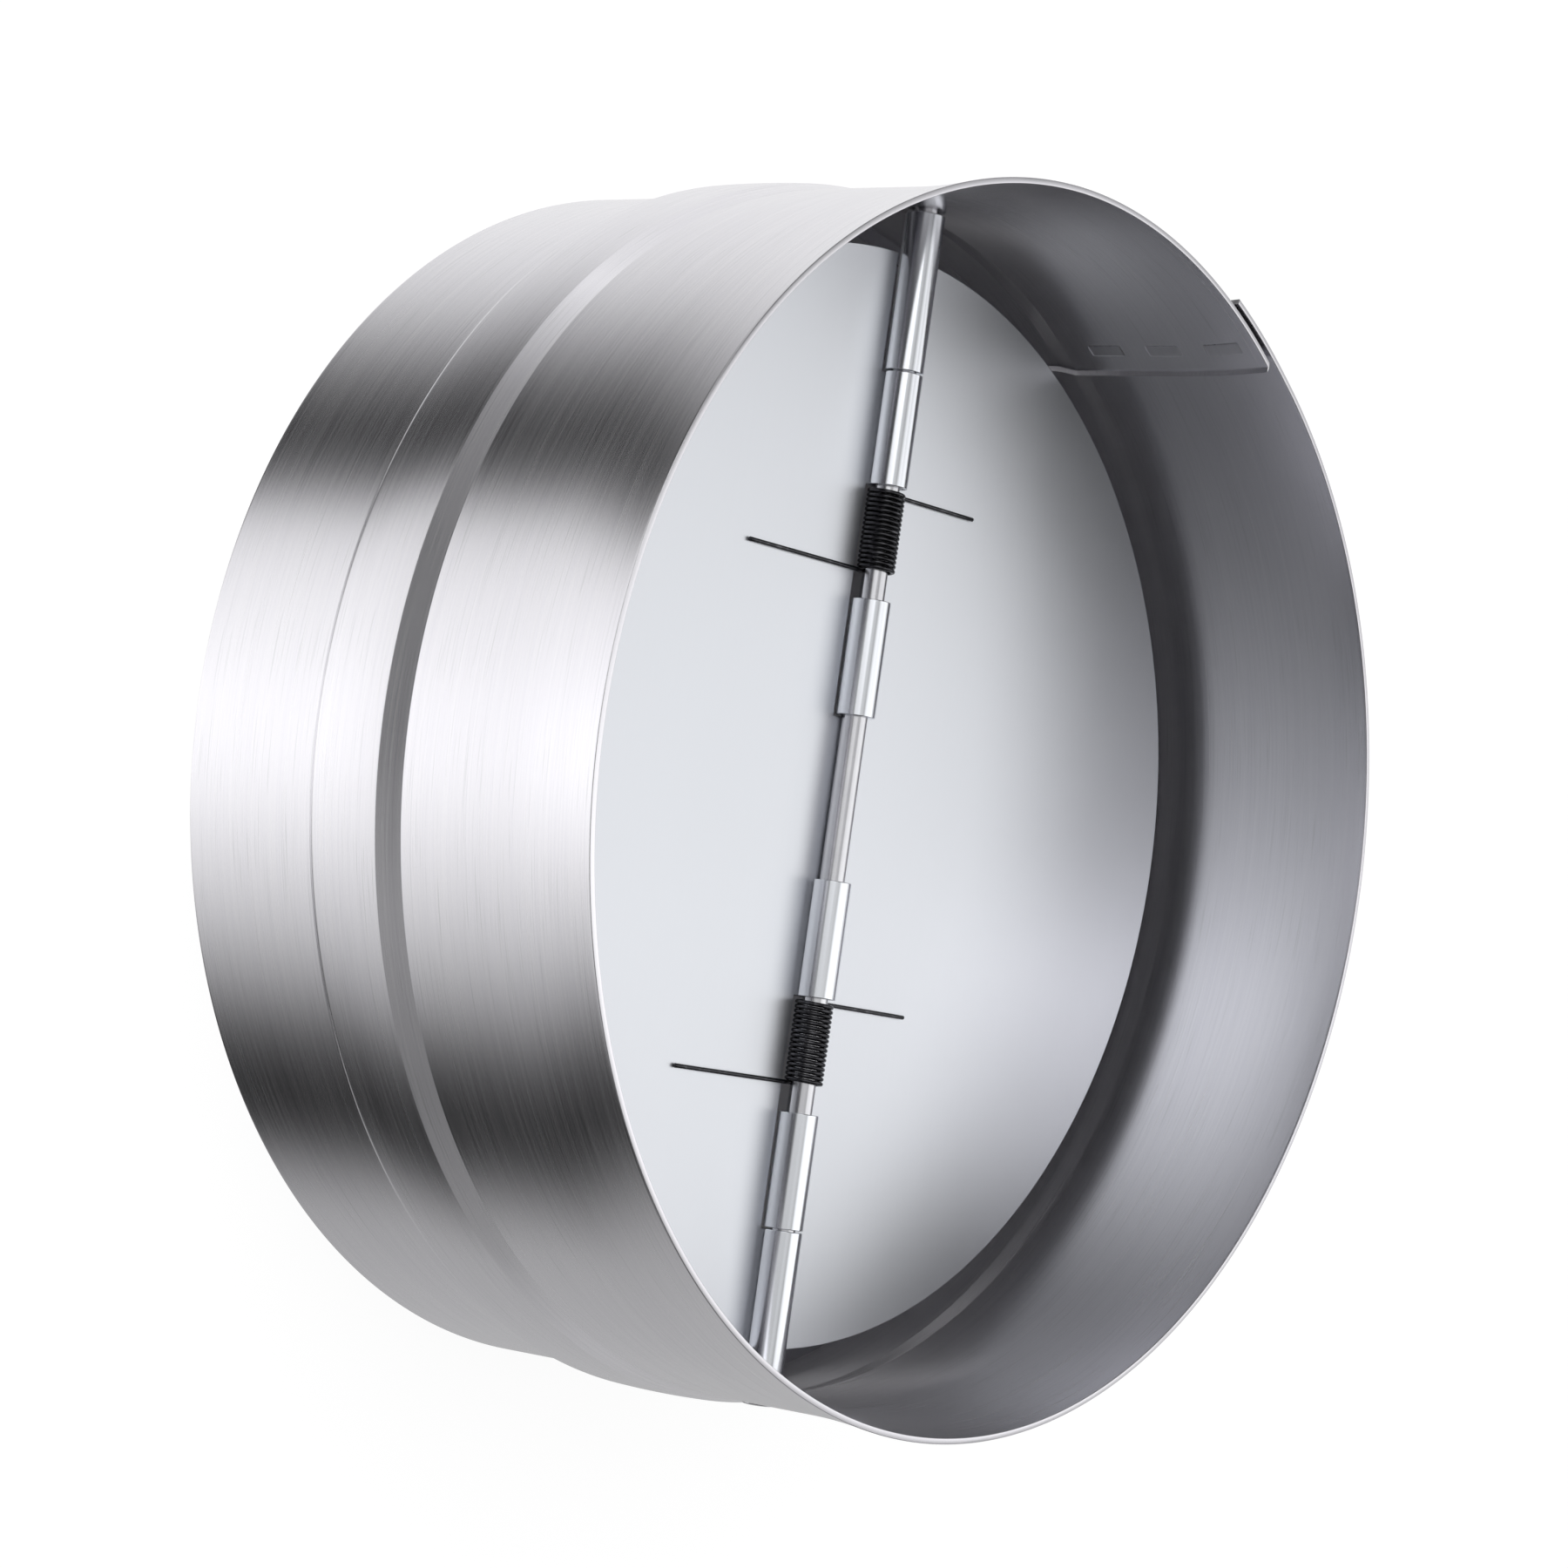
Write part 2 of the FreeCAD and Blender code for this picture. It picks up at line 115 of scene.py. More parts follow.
class Graph:
    """The node tree of one material or of the world."""

    def __init__(self, owner: Material | bpy.types.World) -> None:
        """Empty the owner's node tree and take it over.

        Args:
            owner: The material or world whose nodes are drawn.
        """
        owner.use_nodes = True
        self.tree = owner.node_tree
        self.tree.nodes.clear()

    def node(self, kind: str, settings: dict[str, Any], inputs: dict[Any, Any]) -> bpy.types.Node:
        """Make a node from its type, its settings and its sockets' values.

        Args:
            kind: The node's type name.
            settings: Properties, set first. "stops" fills a colour ramp.
            inputs: Numbers, colours, values or sockets by socket name or index.

        Returns:
            The new node.
        """
        made = self.tree.nodes.new(kind)
        for name, setting in settings.items():
            if name == "stops":
                self._fill_ramp(made.color_ramp, setting)
            else:
                setattr(made, name, setting)
        for name, given in inputs.items():
            if isinstance(given, Value):
                given = given.socket
            if isinstance(given, Socket):
                self.tree.links.new(given, made.inputs[name])
            else:
                made.inputs[name].default_value = given
        return made

    @staticmethod
    def _fill_ramp(ramp: bpy.types.ColorRamp, stops: Sequence[tuple[float, Colour]]) -> None:
        """Set the stops of a colour ramp.

        Args:
            ramp: The ramp.
            stops: Places from 0 to 1 and their colours.
        """
        while len(ramp.elements) < len(stops):
            ramp.elements.new(1.0)
        for element, (place, colour) in zip(ramp.elements, stops):
            element.position = place
            element.color = (*colour, 1.0)

    def math(self, operation: str, *values: Value | float) -> Value:
        """Work out one step of maths.

        Args:
            operation: The Math node's operation.
            values: Its operands.

        Returns:
            The result.
        """
        made = self.node("ShaderNodeMath", {"operation": operation}, dict(enumerate(values)))
        return Value(self, made.outputs[0])

    def step(self, value: Value, low: float, high: float) -> Value:
        """Rise smoothly from 0 at low to 1 at high; falls where low is above high.

        Args:
            value: What is measured.
            low: Where the result is 0.
            high: Where the result is 1.

        Returns:
            A mask from 0 to 1.
        """
        down = low > high
        made = self.node(
            "ShaderNodeMapRange",
            {"interpolation_type": "SMOOTHSTEP"},
            {
                "Value": value,
                "From Min": min(low, high),
                "From Max": max(low, high),
                "To Min": 1.0 if down else 0.0,
                "To Max": 0.0 if down else 1.0,
            },
        )
        return Value(self, made.outputs[0])

    def blend(self, mask: Value | float, first: Any, second: Any) -> Socket:
        """Mix two colours.

        Args:
            mask: 0 gives the first, 1 the second.
            first: A colour or a colour socket.
            second: A colour or a colour socket.

        Returns:
            The mixed colour's socket.
        """
        ends = [(*end, 1.0) if isinstance(end, tuple) else end for end in (first, second)]
        made = self.node(
            "ShaderNodeMix", {"data_type": "RGBA"}, {0: mask, 6: ends[0], 7: ends[1]}
        )
        return made.outputs[2]

    def place(self) -> Socket:
        """Give the point being shaded, in the piece's own metres."""
        return self.node("ShaderNodeTexCoord", {}, {}).outputs["Object"]

    def parts(self, vector: Socket) -> tuple[Value, Value, Value]:
        """Split a vector.

        Args:
            vector: A vector socket.

        Returns:
            Its three parts.
        """
        made = self.node("ShaderNodeSeparateXYZ", {}, {0: vector})
        return tuple(Value(self, output) for output in made.outputs)

    def noise(self, vector: Socket, scale: float, detail: float = 2.0) -> Value:
        """Give smooth noise from 0 to 1.

        Args:
            vector: Where it is read.
            scale: Its frequency.
            detail: How many finer layers it has.

        Returns:
            The noise.
        """
        made = self.node(
            "ShaderNodeTexNoise", {}, {"Vector": vector, "Scale": scale, "Detail": detail}
        )
        return Value(self, made.outputs[0])

    def grain(self, vector: Socket, scale: Triple, detail: float = 2.0) -> Value:
        """Give noise that is drawn out along an axis.

        Args:
            vector: Where it is read.
            scale: Its frequency along each axis.
            detail: How many finer layers it has.

        Returns:
            The noise.
        """
        drawn = self.node("ShaderNodeVectorMath", {"operation": "MULTIPLY"}, {0: vector, 1: scale})
        return self.noise(drawn.outputs[0], 1.0, detail)

    def bump(self, height: Value, distance: float) -> Socket:
        """Turn a height into a normal.

        Args:
            height: The height from 0 to 1.
            distance: How much 1 stands for, in metres.

        Returns:
            The normal's socket.
        """
        made = self.node("ShaderNodeBump", {}, {"Height": height, "Distance": distance})
        return made.outputs[0]

    def end_in(self, shader: bpy.types.Node) -> None:
        """End the material in a shader."""
        self.node("ShaderNodeOutputMaterial", {}, {"Surface": shader.outputs[0]})

    def surface(self, sockets: dict[str, Any]) -> None:
        """End the material in one surface shader, from its values by socket name."""
        self.end_in(self.node("ShaderNodeBsdfPrincipled", {}, sockets))


def new_material(name: str) -> tuple[Material, Graph]:
    """Make a material and the empty graph that draws it."""
    made = bpy.data.materials.new(name)
    return made, Graph(made)


# Finishes


class Slot(Enum):
    """The part's material slots."""

    CASING = "casing_steel"
    ROD = "rod_steel"
    BLADE = "blade_aluminium"
    SPRING = "spring_steel"


@dataclass(frozen=True)
class BrushedSteel:
    """Steel sheet with fine lines brushed round the duct, and faint weld marks.

    A run is how fast a pattern changes along its lines, per metre. The shares say how
    much lines, broad lines and clouds add to the tone, and lines, clouds and weld marks
    to the roughness. A weld row gives the height of one mark and the row's two ends.
    """

    colour: Colour = (0.82, 0.81, 0.84)
    shade: Colour = (0.74, 0.73, 0.77)
    hair_colour: Colour = (0.64, 0.64, 0.66)
    weld_colour: Colour = (0.45, 0.45, 0.47)
    roughness: float = 0.25
    spread: float = 0.45
    spread_turn: float = 0.25
    line: float = 0.30 * MM
    line_depth: float = 0.0045 * MM
    line_run: float = 18.0
    broad_run: float = 12.0
    broad_widths: float = 4.0
    hair_run: float = 60.0
    hairs_per_line: float = 1.6
    hair_range: Point = (0.62, 0.72)
    hair_share: float = 0.6
    cloud_run: float = 24.0
    tone_shares: Triple = (0.45, 0.2, 0.35)
    tone_range: Point = (0.30, 0.70)
    rough_shares: Triple = (0.10, 0.05, 0.08)
    weld_angle: float = 61.3
    weld_size: Point = (2.8 * MM, 7.0 * MM)
    weld_soft: float = 0.4 * MM
    weld_depth: float = 0.12 * MM
    weld_share: float = 0.35
    weld_rows: tuple[Triple, ...] = (
        (79.5 * MM, 49.5 * MM, 85.5 * MM),
        (6.5 * MM, 0.5 * MM, 24.5 * MM),
    )
    weld_pitch: float = 12.0 * MM
    weld_side: Point = (0.08, 0.09)

    def welds(self, graph: Graph, point: Socket) -> Value:
        """Mark the rectangles left by the spot welds.

        Args:
            graph: The material's graph.
            point: The shaded point.

        Returns:
            A mask that is 1 inside a weld mark.
        """
        x, y, z = graph.parts(point)
        seam = math.radians(self.weld_angle)
        cos, sin = math.cos(seam), math.sin(seam)
        width, length = (size / 2 for size in self.weld_size)
        across = graph.step(abs(y * cos - x * sin), width, width - self.weld_soft)
        across = across * graph.step(x * cos + y * sin, *self.weld_side)
        marks: Value | float = 0.0
        for first, low, high in self.weld_rows:
            offset = graph.math("WRAP", z - first, self.weld_pitch / 2, -self.weld_pitch / 2)
            mark = graph.step(abs(offset), length, length - self.weld_soft)
            inside = graph.math("GREATER_THAN", z, low) * graph.math("LESS_THAN", z, high)
            marks = mark * inside + marks
        return across * marks

    def material(self) -> Material:
        """Make the material.

        Returns:
            The casing's finish.
        """
        made, graph = new_material(Slot.CASING.value)
        point = graph.place()
        fine = 1 / self.line
        lines = graph.grain(point, (self.line_run, self.line_run, fine))
        broad = graph.grain(point, (self.broad_run, self.broad_run, fine / self.broad_widths))
        across = (self.hair_run, self.hair_run, fine * self.hairs_per_line)
        hairs = graph.step(graph.grain(point, across, detail=1.0), *self.hair_range)
        cloud = graph.noise(point, self.cloud_run, detail=3.0)
        weld = self.welds(graph, point)
        of_line, of_broad, of_cloud = self.tone_shares
        tone = lines * of_line + broad * of_broad + cloud * of_cloud
        colour = graph.blend(graph.step(tone, *self.tone_range), self.shade, self.colour)
        colour = graph.blend(hairs * self.hair_share, colour, self.hair_colour)
        colour = graph.blend(weld * self.weld_share, colour, self.weld_colour)
        of_line, of_cloud, of_weld = self.rough_shares
        rough = self.roughness + (lines - 0.5) * of_line
        rough = rough + (cloud - 0.5) * of_cloud + weld * of_weld
        height = lines * self.line_depth - weld * self.weld_depth
        graph.surface(
            {
                "Base Color": colour,
                "Metallic": 1.0,
                "Roughness": rough,
                "Anisotropic": self.spread,
                "Anisotropic Rotation": self.spread_turn,
                "Normal": graph.bump(height / MM, MM),
            }
        )
        return made


@dataclass(frozen=True)
class RolledAluminium:
    """Smooth mill-finish aluminium sheet with a faint grain along the rod.

    The knuckles rolled on it are smoother. The shares say how much lines and clouds add
    to the tone and to the roughness.
    """

    colour: Colour = (0.83, 0.85, 0.89)
    shade: Colour = (0.80, 0.82, 0.86)
    roughness: float = 0.42
    metallic: float = 0.96
    line: float = 0.35 * MM
    line_depth: float = 0.0006 * MM
    line_run: float = 12.0
    cloud_run: float = 30.0
    tone_shares: Point = (0.15, 0.85)
    tone_range: Point = (0.2, 0.7)
    rough_shares: Point = (0.02, 0.06)
    rolled_from: float = 48.35 * MM
    rolled_half: float = 3.6 * MM
    rolled_soft: float = 0.2 * MM
    rolled_roughness: float = 0.17

    def material(self) -> Material:
        """Make the material.

        Returns:
            The blades' finish.
        """
        made, graph = new_material(Slot.BLADE.value)
        point = graph.place()
        fine = 1 / self.line
        lines = graph.grain(point, (fine, self.line_run, fine))
        cloud = graph.noise(point, self.cloud_run, detail=4.0)
        of_line, of_cloud = self.tone_shares
        tone = graph.step(lines * of_line + cloud * of_cloud, *self.tone_range)
        x, _, z = graph.parts(point)
        rolled = graph.step(abs(x), self.rolled_half, self.rolled_half - self.rolled_soft)
        rolled = rolled * graph.step(z, self.rolled_from, self.rolled_from + self.rolled_soft)
        rough = self.roughness - rolled * (self.roughness - self.rolled_roughness)
        of_line, of_cloud = self.rough_shares
        rough = rough + (cloud - 0.5) * of_cloud + (lines - 0.5) * of_line
        graph.surface(
            {
                "Base Color": graph.blend(tone, self.shade, self.colour),
                "Metallic": self.metallic + rolled * (1.0 - self.metallic),
                "Roughness": rough,
                "Normal": graph.bump(lines, self.line_depth),
            }
        )
        return made


@dataclass(frozen=True)
class DrawnSteel:
    """Bright drawn steel rod, with fine lines along it."""

    colour: Colour = (0.72, 0.72, 0.74)
    shade: Colour = (0.60, 0.60, 0.63)
    roughness: float = 0.22
    rough_share: float = 0.12
    line: float = 0.2 * MM
    line_depth: float = 0.002 * MM
    line_run: float = 60.0
    cloud_run: float = 180.0

    def material(self) -> Material:
        """Make the material.

        Returns:
            The rod's finish.
        """
        made, graph = new_material(Slot.ROD.value)
        point = graph.place()
        fine = 1 / self.line
        lines = graph.grain(point, (fine, self.line_run, fine))
        cloud = graph.noise(point, self.cloud_run, detail=3.0)
        graph.surface(
            {
                "Base Color": graph.blend(cloud, self.shade, self.colour),
                "Metallic": 1.0,
                "Roughness": self.roughness + (lines - 0.5) * self.rough_share,
                "Normal": graph.bump(lines, self.line_depth),
            }
        )
        return made


@dataclass(frozen=True)
class BlackWire:
    """Spring wire with a thin black finish, worn in flecks."""

    colour: Colour = (0.055, 0.055, 0.06)
    worn: Colour = (0.12, 0.12, 0.13)
    roughness: float = 0.24
    rough_share: float = 0.12
    fleck_run: float = 900.0
    fleck_range: Point = (0.5, 0.72)
    fleck_depth: float = 0.01 * MM

    def material(self) -> Material:
        """Make the material.

        Returns:
            The springs' finish.
        """
        made, graph = new_material(Slot.SPRING.value)
        fleck = graph.noise(graph.place(), self.fleck_run, detail=3.0)
        worn = graph.step(fleck, *self.fleck_range)
        graph.surface(
            {
                "Base Color": graph.blend(worn, self.colour, self.worn),
                "Metallic": 1.0,
                "Roughness": self.roughness + (fleck - 0.5) * self.rough_share,
                "Normal": graph.bump(fleck, self.fleck_depth),
            }
        )
        return made


# Mesh making


def piece(name: str, verts: Sequence[Vector], faces: Sequence[Sequence[int]]) -> Object:
    """Make a mesh object with smooth faces.

    Args:
        name: The piece's name.
        verts: Its points in the row frame, in metres.
        faces: Its faces as lists of point numbers.

    Returns:
        The object, in the scene.
    """
    mesh = bpy.data.meshes.new(name)
    mesh.from_pydata([tuple(v) for v in verts], [], [list(f) for f in faces])
    mesh.polygons.foreach_set("use_smooth", [True] * len(mesh.polygons))
    made = bpy.data.objects.new(name, mesh)
    bpy.context.scene.collection.objects.link(made)
    return made


def join_rings(count: int, size: int) -> list[Face]:
    """List the quads between closed rings of points that follow each other.

    Args:
        count: How many rings there are.
        size: How many points each ring has.

    Returns:
        The faces.
    """
    faces: list[Face] = []
    for here in range(0, (count - 1) * size, size):
        there = here + size
        for k in range(size):
            n = (k + 1) % size
            faces.append((here + k, here + n, there + n, there + k))
    return faces


def round_turns(count: int) -> list[float]:
    """Give angles spaced evenly round a circle, in radians."""
    return [2 * math.pi * k / count for k in range(count)]


def headings(line: Sequence[Vector]) -> list[Vector]:
    """Find the way a line runs at each of its points.

    Args:
        line: The points.

    Returns:
        A unit vector for each point.
    """
    before = [line[0], *line[:-1]]
    after = [*line[1:], line[-1]]
    return [(ahead - behind).normalized() for behind, ahead in zip(before, after)]


def settle(made: Object, corner: float | None = None) -> None:
    """Fix a piece's modifiers into its mesh.

    Args:
        made: The piece.
        corner: The angle in degrees above which an edge is drawn sharp; without it the
            modifiers' own normals stay.
    """
    graph = bpy.context.evaluated_depsgraph_get()
    mesh = bpy.data.meshes.new_from_object(made.evaluated_get(graph))
    made.modifiers.clear()
    made.data = mesh
    mesh.name = made.name
    if corner is not None:
        mesh.set_sharp_from_angle(angle=math.radians(corner))


def turned_out(made: Object) -> None:
    """Turn every face of a mesh outward.

    Args:
        made: The piece.
    """
    work = bmesh.new()
    work.from_mesh(made.data)
    bmesh.ops.recalc_face_normals(work, faces=work.faces)
    work.to_mesh(made.data)
    work.free()


def rounded(corners: Sequence[Triple], arc: int = 4, support: float = 0.35 * MM) -> list[Point]:
    """Round the inner corners of an open line.

    Args:
        corners: Points and the radius at each; the first and last stay sharp.
        arc: How many steps each round has.
        support: How far the extra points stand off each round.

    Returns:
        The points of the rounded line.
    """
    line: list[Point] = [corners[0][:2]]
    for before, here, after in zip(corners, corners[1:], corners[2:]):
        middle = Vector(here[:2])
        into = (middle - Vector(before[:2])).normalized()
        out = (Vector(after[:2]) - middle).normalized()
        turn = into.angle_signed(out)
        reach = here[2] * math.tan(abs(turn) / 2)
        if math.isclose(reach, 0.0, abs_tol=1e-7):
            line.append(here[:2])
            continue
        start = middle - into * reach
        side = Vector((-into.y, into.x)) * (-1 if turn > 0 else 1)
        centre = start + side * here[2]
        line.append(tuple(start - into * support))
        for k in range(arc + 1):
            spin = Matrix.Rotation(-turn * k / arc, 2)
            line.append(tuple(centre + spin @ (start - centre)))
        line.append(tuple(middle + out * (reach + support)))
    line.append(corners[-1][:2])
    return line


# A wire's rounded end: its round over the wire's radius, and how far each of its rings
# stands in and out, over that round.
END_ROUND = 0.3
END_RINGS = ((0.3, 0.7), (1.0, 1.0))


def tube(path: Sequence[Vector], radius: float, sides: int) -> tuple[list[Vector], list[Face]]:
    """Sweep a round wire along a path, with rounded ends.

    Args:
        path: The wire's centre line.
        radius: The wire's radius.
        sides: How many flats go round it.

    Returns:
        The points and faces of the wire.
    """
    ways = headings(path)
    normal = ways[0].orthogonal().normalized()
    rings: list[tuple[Vector, Vector, Vector, float]] = []
    for point, way in zip(path, ways):
        normal = (normal - way * normal.dot(way)).normalized()
        rings.append((point, normal, way.cross(normal), radius))
    soft = radius * END_ROUND
    head, tail = (
        [
            (end + out * (rise * soft), across, down, radius - less * soft)
            for less, rise in END_RINGS
        ]
        for (end, across, down, _), out in ((rings[0], -ways[0]), (rings[-1], ways[-1]))
    )
    rings = [*head[::-1], *rings, *tail]
    verts = [
        centre + (across * math.cos(a) + down * math.sin(a)) * reach
        for centre, across, down, reach in rings
        for a in round_turns(sides)
    ]
    faces = join_rings(len(rings), sides)
    faces.append(tuple(range(sides))[::-1])
    faces.append(tuple(range(len(verts) - sides, len(verts))))
    return verts, faces


def dress(made: Object, material: Material) -> None:
    """Give a piece its finish.

    Args:
        made: The piece.
        material: Its material.
    """
    made.data.materials.append(material)


# The sleeve


@dataclass
class Sleeve:
    """The rolled sheet sleeve, with its ridge, flared rim and lap seam.

    Radii are to the middle of the sheet, and angles are in degrees. The lap is the
    stretch of sheet that lies under the outer layer, behind the seam. The curl is the
    turn in which it comes in under that layer.
    """

    thick: float = 1.0 * MM
    length: float = 86.0 * MM
    spigot: float = 97.3 * MM
    ridge: float = 99.3 * MM
    crown: float = 0.15 * MM
    collar: float = 98.3 * MM
    rim: float = 99.5 * MM
    ridge_from: float = 29.1 * MM
    ridge_to: float = 42.4 * MM
    back_flank: float = 2.4 * MM
    front_flank: float = 4.4 * MM
    crown_steps: int = 8
    flare: float = 18.0 * MM
    flare_steps: int = 9
    bend: float = 0.7 * MM
    edge_round: float = 0.12 * MM
    edge_steps: int = 3
    edge_support: float = 0.5 * MM
    seam_angle: float = 66.3
    lap: float = 11.2
    curl: float = 30.0
    lap_gap: float = 0.05 * MM
    lap_step: float = 0.5
    lap_steps: int = 80
    spring_back: float = 0.6 * MM
    spring_turn: float = 11.0
    spring_bend: float = 1.15
    burr: float = 0.75 * MM
    burr_turn: float = 0.28
    corner: float = 40.0
    finish: BrushedSteel = field(default_factory=BrushedSteel)

    def middle_line(self) -> list[Point]:
        """Draw the middle of the sheet's section, as radius and height.

        Returns:
            Points from the inlet rim to the outlet rim.
        """
        span, steps = self.ridge_to - self.ridge_from, self.crown_steps
        crown = [
            (
                self.ridge + self.crown * (1 - (2 * k / steps - 1) ** 2),
                self.ridge_from + span * k / steps,
                0.0,
            )
            for k in range(1, steps)
        ]
        corners = [
            (self.spigot, 0.0, 0.0),
            (self.spigot, self.ridge_from - self.back_flank, self.bend),
            (self.ridge, self.ridge_from, self.bend),
            *crown,
            (self.ridge, self.ridge_to, self.bend),
            (self.collar, self.ridge_to + self.front_flank, self.bend),
            *self.flared(),
            (self.rim, self.length, 0.0),
        ]
        return rounded(corners)

    def flared(self) -> list[Triple]:
        """Open the collar out to the rim in one slow curve.

        Returns:
            Points short of the rim, as radius, height and no rounding.
        """
        steps = self.flare_steps
        rise = self.rim - self.collar
        start = self.length - self.flare
        return [
            (self.collar + rise * (k / steps) ** 2, start + self.flare * k / steps, 0.0)
            for k in range(steps)
        ]

    def section(self) -> list[Point]:
        """Draw the closed section of the sheet.

        Returns:
            Points up the outside and down the inside, as radius and height.
        """
        line = [Vector(p) for p in self.middle_line()]
        half, soft = self.thick / 2, self.edge_round
        sides = [Vector((way.y, -way.x)) for way in headings(line)]
        outer = [point + side * half for point, side in zip(line, sides)]
        inner = [point - side * half for point, side in zip(line, sides)]
        turns = [math.radians(90 * k / self.edge_steps) for k in range(self.edge_steps + 1)]
        corner = [(half - soft + soft * math.cos(a), soft * math.sin(a) - soft) for a in turns]
        corner += [(-across, rise) for across, rise in corner[::-1]]
        edges = []
        for end, beside in ((0, 1), (-1, -2)):
            out = (line[end] - line[beside]).normalized()
            edges.append([line[end] + sides[end] * across + out * rise for across, rise in corner])
            outer[end] -= out * self.edge_support
            inner[end] -= out * self.edge_support
        inlet, outlet = edges
        return [tuple(point) for point in (*outer, *outlet, *inner[::-1], *inlet[::-1])]

    def build(self) -> Object:
        """Roll the section round, curling its first stretch in under its last.

        Returns:
            The sleeve's mesh.
        """
        section = self.section()
        start = self.seam_angle + self.curl
        shift = (self.thick + self.lap_gap) / (1 - math.cos(math.radians(self.curl)))
        heading = math.radians(start)
        off = Vector((math.cos(heading), math.sin(heading))) * shift
        first = start - self.curl - self.lap
        stations = [(first, off, shift + self.burr), (first + self.burr_turn, off, shift)]
        stations += [(first + self.lap_step * k, off, shift) for k in range(1, self.lap_steps)]
        turns = 360.0 - self.curl
        for k in range(int(turns) + 1):
            past = max(0.0, k - turns + self.spring_turn) / self.spring_turn
            stand = self.spring_back * past**self.spring_bend
            stations.append((start + k, Vector((0.0, 0.0)), -stand))
        verts = []
        for angle, centre, less in stations:
            cos, sin = math.cos(math.radians(angle)), math.sin(math.radians(angle))
            verts += [
                Vector((centre.x + (r - less) * cos, centre.y + (r - less) * sin, z))
                for r, z in section
            ]
        size = len(section)
        faces = join_rings(len(stations), size)
        faces.append(tuple(range(size)))
        faces.append(tuple(range(len(verts) - size, len(verts)))[::-1])
        made = piece("casing_shell", verts, faces)
        turned_out(made)
        settle(made, self.corner)
        return made

    def assemble(self) -> list[Object]:
        """Build the sleeve, dress it and stand it in for its solid.

        Returns:
            The sleeve alone.
        """
        made = self.build()
        dress(made, self.finish.material())
        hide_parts("casing")
        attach(made, "sleeve")
        return [made]


# The hinge rod


@dataclass
class HingeRod:
    """The rod across the duct, with a peened head outside the sleeve at each end.

    A head's brim stands on the head plane, and its dome rises from the brim.
    """

    radius: float = 2.1 * MM
    height: float = HINGE_HEIGHT
    head_plane: float = 98.82 * MM
    head_radius: float = 2.7 * MM
    head_rise: float = 0.5 * MM
    brim: float = 0.2 * MM
    brim_round: Point = (0.1 * MM, 0.08 * MM)
    dome_bend: float = 0.8
    dome_steps: int = 8
    shaft_steps: int = 24
    sides: int = 64
    corner: float = 50.0
    finish: DrawnSteel = field(default_factory=DrawnSteel)

    def half_profile(self) -> list[Point]:
        """Draw the section of one end, as radius and distance along the rod.

        Returns:
            Points from the shaft out to the crown of the head.
        """
        plane, brim, wide = self.head_plane, self.brim, self.head_radius
        inset, lift = self.brim_round
        dome = []
        for k in range(self.dome_steps):
            a = math.radians(90 * k / self.dome_steps)
            rise = brim + (self.head_rise - brim) * math.sin(a)
            dome.append((wide * math.cos(a) ** self.dome_bend, plane + rise))
        return [
            (self.radius, plane - brim),
            (self.radius, plane),
            (wide - inset, plane),
            (wide, plane + lift),
            *dome,
        ]

    def build(self) -> Object:
        """Turn the rod.

        Returns:
            The rod's mesh.
        """
        half = self.half_profile()
        profile = [(r, -y) for r, y in reversed(half)]
        steps, reach = self.shaft_steps, half[0][1]
        profile += [(self.radius, reach * (2 * k / steps - 1)) for k in range(1, steps)]
        profile += half
        verts = [
            Vector((r * math.cos(a), y, self.height + r * math.sin(a)))
            for r, y in profile
            for a in round_turns(self.sides)
        ]
        faces = join_rings(len(profile), self.sides)
        tip = self.head_plane + self.head_rise
        for sign, first in ((-1, 0), (1, (len(profile) - 1) * self.sides)):
            verts.append(Vector((0.0, sign * tip, self.height)))
            hub = len(verts) - 1
            for k in range(self.sides):
                faces.append((hub, first + k, first + (k + 1) % self.sides))
        made = piece("hinge_rod_turned", verts, faces)
        turned_out(made)
        settle(made, self.corner)
        return made

    def assemble(self) -> list[Object]:
        """Build the rod, dress it and stand it in for its solid.

        Returns:
            The rod alone.
        """
        made = self.build()
        dress(made, self.finish.material())
        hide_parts("hinge_rod")
        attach(made, "sleeve")
        return [made]


# The blades


